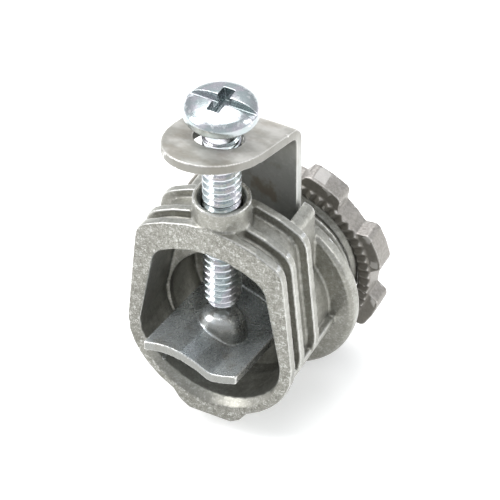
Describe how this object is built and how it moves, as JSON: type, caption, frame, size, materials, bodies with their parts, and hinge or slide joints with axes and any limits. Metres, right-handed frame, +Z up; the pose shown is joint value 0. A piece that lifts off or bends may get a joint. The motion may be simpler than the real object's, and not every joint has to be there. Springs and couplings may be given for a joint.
{
  "type": "conduit connector",
  "caption": "Saddle-clamp connector for flexible metal conduit: die-cast body, clamp screw and formed strap, with a threaded nipple and lugged locknut for a box knockout.",
  "frame": {"origin": "on the nipple axis, in the plane of the flange face that seats on the box wall", "axes": "+Y along the nipple axis into the box, so the clamp mouth faces -Y; +Z up along the clamp screw toward its head; +X to the right seen from the mouth"},
  "size_m": [0.028, 0.0314, 0.0513],
  "materials": {
    "die_cast_zinc": "die-cast zinc alloy, matte grainy mouth, smoother ribs",
    "formed_steel": "formed plate, dull grey",
    "zinc_plated_steel": "bright zinc plating",
    "locknut_zinc": "die-cast zinc alloy, slightly grainy"
  },
  "bodies": {
    "body": {"body": "die_cast_zinc"},
    "clamp_strap": {"clamp_strap": "formed_steel"},
    "clamp_screw": {"clamp_screw": "zinc_plated_steel"},
    "locknut": {"locknut": "locknut_zinc"}
  },
  "joints": [
    {"name": "saddle_slide", "type": "slide", "parent": "body", "child": "clamp_strap", "axis": [0, 0, 1], "range_m": [-0.003, 0.005]},
    {"name": "clamp_screw_turn", "type": "hinge", "parent": "clamp_strap", "child": "clamp_screw", "pos_m": [0, -0.01134, 0.035], "axis": [0, 0, 1], "range_deg": [-1021, 1702]},
    {"name": "locknut_turn", "type": "hinge", "parent": "body", "child": "locknut", "pos_m": [0, 0.0059, 0], "axis": [0, 1, 0], "continuous": true}
  ],
  "couplings": [
    {"joint": "clamp_screw_turn", "follows": "saddle_slide", "rad_per_m": 5938.7}
  ]
}
